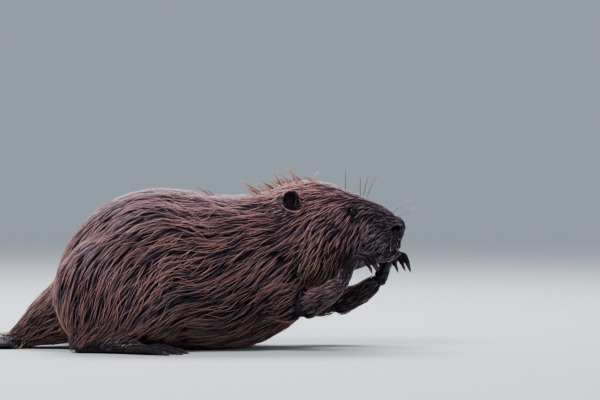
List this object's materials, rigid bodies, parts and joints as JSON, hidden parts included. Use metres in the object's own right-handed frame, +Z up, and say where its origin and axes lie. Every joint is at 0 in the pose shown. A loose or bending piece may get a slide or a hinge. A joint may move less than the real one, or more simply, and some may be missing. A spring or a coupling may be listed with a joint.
{
  "type": "life-size beaver model",
  "caption": "Crouched beaver with arched back, forepaws raised to the mouth, webbed hind feet flat and the flat scaly tail laid out behind.",
  "frame": {"origin": "on the floor, under the middle of the whole animal", "axes": "+X towards the animal's head, +Y towards its left side, +Z up"},
  "size_m": [0.8336, 0.3286, 0.2714],
  "materials": {
    "coat": "wet brown fur, guard hairs clumped into pointed locks with rust-brown tips",
    "ear_fur": "short dark brown fur",
    "bare_skin": "dark bare skin, damp and finely creased",
    "tail_scales": "grey-black leathery scales",
    "claw": "dark polished horn",
    "eye": "wet black eye"
  },
  "bodies": {
    "root": {"trunk": "coat", "neck": "coat", "head": "coat", "lower_jaw": "coat", "nose": "bare_skin", "eye_right": "eye", "ear_right": "ear_fur", "haunch_right": "coat", "hind_foot_right": "bare_skin", "hind_claw_right_1": "claw", "hind_claw_right_2": "claw", "hind_claw_right_3": "claw", "hind_claw_right_4": "claw", "hind_claw_right_5": "claw", "upper_arm_right": "coat", "forearm_right": "coat", "forepaw_right": "bare_skin", "fore_claw_right_1": "claw", "fore_claw_right_2": "claw", "fore_claw_right_3": "claw", "fore_claw_right_4": "claw", "fore_claw_right_5": "claw", "eye_left": "eye", "ear_left": "ear_fur", "haunch_left": "coat", "hind_foot_left": "bare_skin", "hind_claw_left_1": "claw", "hind_claw_left_2": "claw", "hind_claw_left_3": "claw", "hind_claw_left_4": "claw", "hind_claw_left_5": "claw", "upper_arm_left": "coat", "forearm_left": "coat", "forepaw_left": "bare_skin", "fore_claw_left_1": "claw", "fore_claw_left_2": "claw", "fore_claw_left_3": "claw", "fore_claw_left_4": "claw", "fore_claw_left_5": "claw", "tail_root": "coat", "tail": "tail_scales"}
  },
  "joints": []
}
